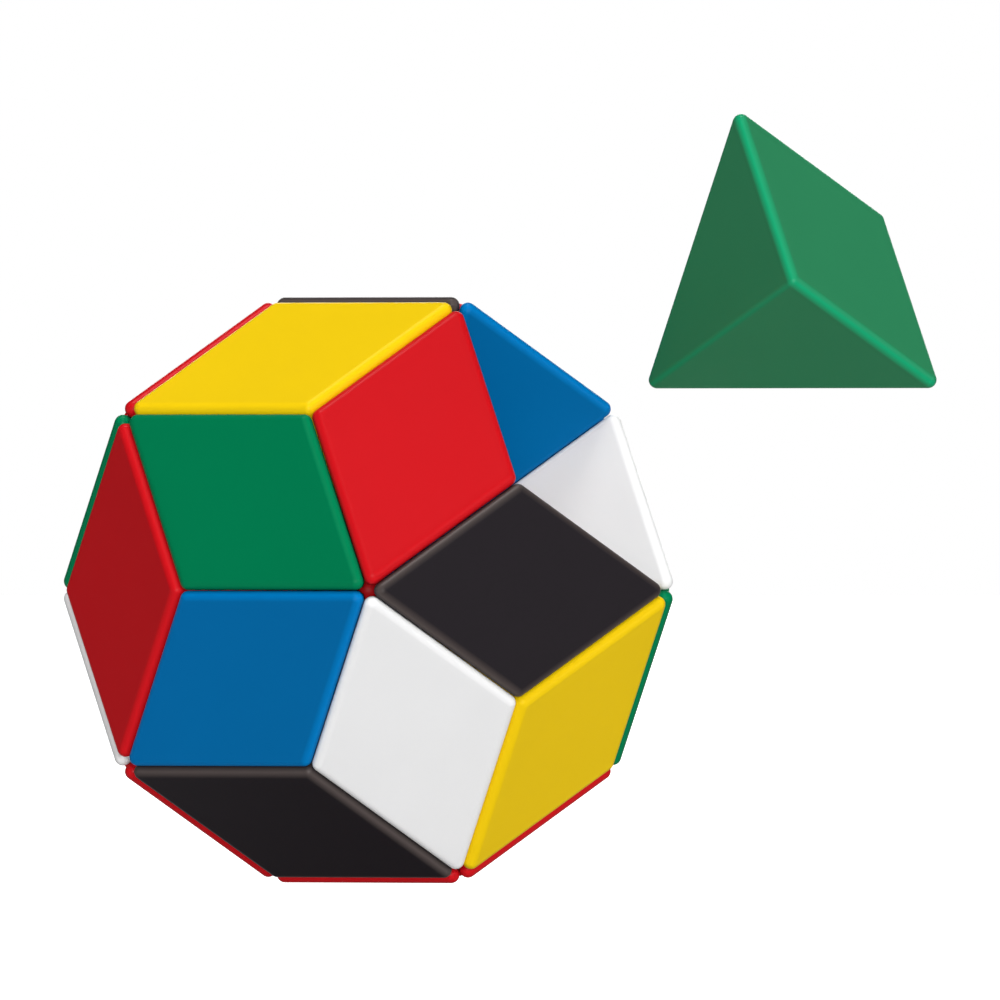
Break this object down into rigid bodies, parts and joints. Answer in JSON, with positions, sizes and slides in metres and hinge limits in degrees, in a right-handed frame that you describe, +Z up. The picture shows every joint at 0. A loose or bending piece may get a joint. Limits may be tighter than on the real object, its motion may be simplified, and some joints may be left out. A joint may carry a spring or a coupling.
{
  "type": "magnetic block ball puzzle",
  "caption": "Ball puzzle of loose pyramid blocks with rounded rhombic faces in several plastic colours, held together by hidden magnets, with a block pulled out of its socket.",
  "frame": {"origin": "centre of the outer face of the bottom block, on the surface that the ball stands on; the ball's centre is straight above it", "axes": "+Z up; -Y from the ball's centre towards its front five-way corner; +X to the right of somebody who faces that corner, and towards the loose block"},
  "size_m": [0.1227, 0.1099, 0.1081],
  "materials": {
    "black_plastic": "smooth satin-gloss moulded plastic, coloured right through",
    "red_plastic": "smooth satin-gloss moulded plastic, coloured right through",
    "green_plastic": "smooth satin-gloss moulded plastic, coloured right through",
    "blue_plastic": "smooth satin-gloss moulded plastic, coloured right through",
    "white_plastic": "smooth satin-gloss moulded plastic, coloured right through",
    "yellow_plastic": "smooth satin-gloss moulded plastic, coloured right through",
    "magnet_nickel": "bright nickel plating on sintered disc magnets"
  },
  "bodies": {
    "red_5": {"red_5_shell": "red_plastic", "red_5_magnets": "magnet_nickel"},
    "black_1": {"black_1_shell": "black_plastic", "black_1_magnets": "magnet_nickel"},
    "red_1": {"red_1_shell": "red_plastic", "red_1_magnets": "magnet_nickel"},
    "green_1": {"green_1_shell": "green_plastic", "green_1_magnets": "magnet_nickel"},
    "blue_1": {"blue_1_shell": "blue_plastic", "blue_1_magnets": "magnet_nickel"},
    "white_1": {"white_1_shell": "white_plastic", "white_1_magnets": "magnet_nickel"},
    "green_2": {"green_2_shell": "green_plastic", "green_2_magnets": "magnet_nickel"},
    "yellow_1": {"yellow_1_shell": "yellow_plastic", "yellow_1_magnets": "magnet_nickel"},
    "red_2": {"red_2_shell": "red_plastic", "red_2_magnets": "magnet_nickel"},
    "black_2": {"black_2_shell": "black_plastic", "black_2_magnets": "magnet_nickel"},
    "yellow_2": {"yellow_2_shell": "yellow_plastic", "yellow_2_magnets": "magnet_nickel"},
    "white_2": {"white_2_shell": "white_plastic", "white_2_magnets": "magnet_nickel"},
    "blue_2": {"blue_2_shell": "blue_plastic", "blue_2_magnets": "magnet_nickel"},
    "black_3": {"black_3_shell": "black_plastic", "black_3_magnets": "magnet_nickel"},
    "red_3": {"red_3_shell": "red_plastic", "red_3_magnets": "magnet_nickel"},
    "green_3": {"green_3_shell": "green_plastic", "green_3_magnets": "magnet_nickel"},
    "white_3": {"white_3_shell": "white_plastic", "white_3_magnets": "magnet_nickel"},
    "red_4": {"red_4_shell": "red_plastic", "red_4_magnets": "magnet_nickel"},
    "red_6": {"red_6_shell": "red_plastic", "red_6_magnets": "magnet_nickel"},
    "green_4": {"green_4_shell": "green_plastic", "green_4_magnets": "magnet_nickel"},
    "green_5": {"green_5_shell": "green_plastic", "green_5_magnets": "magnet_nickel"},
    "red_7": {"red_7_shell": "red_plastic", "red_7_magnets": "magnet_nickel"},
    "red_8": {"red_8_shell": "red_plastic", "red_8_magnets": "magnet_nickel"},
    "red_9": {"red_9_shell": "red_plastic", "red_9_magnets": "magnet_nickel"},
    "red_10": {"red_10_shell": "red_plastic", "red_10_magnets": "magnet_nickel"},
    "blue_3": {"blue_3_shell": "blue_plastic", "blue_3_magnets": "magnet_nickel"},
    "yellow_3": {"yellow_3_shell": "yellow_plastic", "yellow_3_magnets": "magnet_nickel"},
    "red_11": {"red_11_shell": "red_plastic", "red_11_magnets": "magnet_nickel"},
    "red_12": {"red_12_shell": "red_plastic", "red_12_magnets": "magnet_nickel"},
    "white_4": {"white_4_shell": "white_plastic", "white_4_magnets": "magnet_nickel"}
  },
  "joints": [
    {"name": "black_1_pull", "type": "slide", "parent": "red_5", "child": "black_1", "axis": [0.5257, -0.8507, 0], "range_m": [0, 0.0551]},
    {"name": "red_1_pull", "type": "slide", "parent": "red_5", "child": "red_1", "axis": [0.1625, -0.8507, 0.5], "range_m": [0, 0.0551]},
    {"name": "green_1_pull", "type": "slide", "parent": "red_5", "child": "green_1", "axis": [-0.4253, -0.8507, 0.309], "range_m": [0, 0.0551]},
    {"name": "blue_1_pull", "type": "slide", "parent": "red_5", "child": "blue_1", "axis": [-0.4253, -0.8507, -0.309], "range_m": [0, 0.0551]},
    {"name": "white_1_pull", "type": "slide", "parent": "red_5", "child": "white_1", "axis": [0.1625, -0.8507, -0.5], "range_m": [0, 0.0551]},
    {"name": "green_2_pull", "type": "slide", "parent": "red_5", "child": "green_2", "axis": [0.6882, -0.5257, 0.5], "range_m": [-0.0551, 0]},
    {"name": "yellow_1_pull", "type": "slide", "parent": "red_5", "child": "yellow_1", "axis": [-0.2629, -0.5257, 0.809], "range_m": [0, 0.0551]},
    {"name": "red_2_pull", "type": "slide", "parent": "red_5", "child": "red_2", "axis": [-0.8507, -0.5257, 0], "range_m": [0, 0.0551]},
    {"name": "black_2_pull", "type": "slide", "parent": "red_5", "child": "black_2", "axis": [-0.2629, -0.5257, -0.809], "range_m": [0, 0.0551]},
    {"name": "yellow_2_pull", "type": "slide", "parent": "red_5", "child": "yellow_2", "axis": [0.6882, -0.5257, -0.5], "range_m": [0, 0.0551]},
    {"name": "white_2_pull", "type": "slide", "parent": "red_5", "child": "white_2", "axis": [0.9511, 0, 0.309], "range_m": [0, 0.0551]},
    {"name": "blue_2_pull", "type": "slide", "parent": "red_5", "child": "blue_2", "axis": [0.5878, 0, 0.809], "range_m": [0, 0.0551]},
    {"name": "black_3_pull", "type": "slide", "parent": "red_5", "child": "black_3", "axis": [0, 0, 1], "range_m": [0, 0.0551]},
    {"name": "red_3_pull", "type": "slide", "parent": "red_5", "child": "red_3", "axis": [-0.5878, 0, 0.809], "range_m": [0, 0.0551]},
    {"name": "green_3_pull", "type": "slide", "parent": "red_5", "child": "green_3", "axis": [-0.9511, 0, 0.309], "range_m": [0, 0.0551]},
    {"name": "white_3_pull", "type": "slide", "parent": "red_5", "child": "white_3", "axis": [-0.9511, 0, -0.309], "range_m": [0, 0.0551]},
    {"name": "red_4_pull", "type": "slide", "parent": "red_5", "child": "red_4", "axis": [-0.5878, 0, -0.809], "range_m": [0, 0.0551]},
    {"name": "red_6_pull", "type": "slide", "parent": "red_5", "child": "red_6", "axis": [0.5878, 0, -0.809], "range_m": [0, 0.0551]},
    {"name": "green_4_pull", "type": "slide", "parent": "red_5", "child": "green_4", "axis": [0.9511, 0, -0.309], "range_m": [0, 0.0551]},
    {"name": "green_5_pull", "type": "slide", "parent": "red_5", "child": "green_5", "axis": [0.8507, 0.5257, 0], "range_m": [0, 0.0551]},
    {"name": "red_7_pull", "type": "slide", "parent": "red_5", "child": "red_7", "axis": [0.2629, 0.5257, 0.809], "range_m": [0, 0.0551]},
    {"name": "red_8_pull", "type": "slide", "parent": "red_5", "child": "red_8", "axis": [-0.6882, 0.5257, 0.5], "range_m": [0, 0.0551]},
    {"name": "red_9_pull", "type": "slide", "parent": "red_5", "child": "red_9", "axis": [-0.6882, 0.5257, -0.5], "range_m": [0, 0.0551]},
    {"name": "red_10_pull", "type": "slide", "parent": "red_5", "child": "red_10", "axis": [0.2629, 0.5257, -0.809], "range_m": [0, 0.0551]},
    {"name": "blue_3_pull", "type": "slide", "parent": "red_5", "child": "blue_3", "axis": [0.4253, 0.8507, 0.309], "range_m": [0, 0.0551]},
    {"name": "yellow_3_pull", "type": "slide", "parent": "red_5", "child": "yellow_3", "axis": [-0.1625, 0.8507, 0.5], "range_m": [0, 0.0551]},
    {"name": "red_11_pull", "type": "slide", "parent": "red_5", "child": "red_11", "axis": [-0.5257, 0.8507, 0], "range_m": [0, 0.0551]},
    {"name": "red_12_pull", "type": "slide", "parent": "red_5", "child": "red_12", "axis": [-0.1625, 0.8507, -0.5], "range_m": [0, 0.0551]},
    {"name": "white_4_pull", "type": "slide", "parent": "red_5", "child": "white_4", "axis": [0.4253, 0.8507, -0.309], "range_m": [0, 0.0551]}
  ]
}
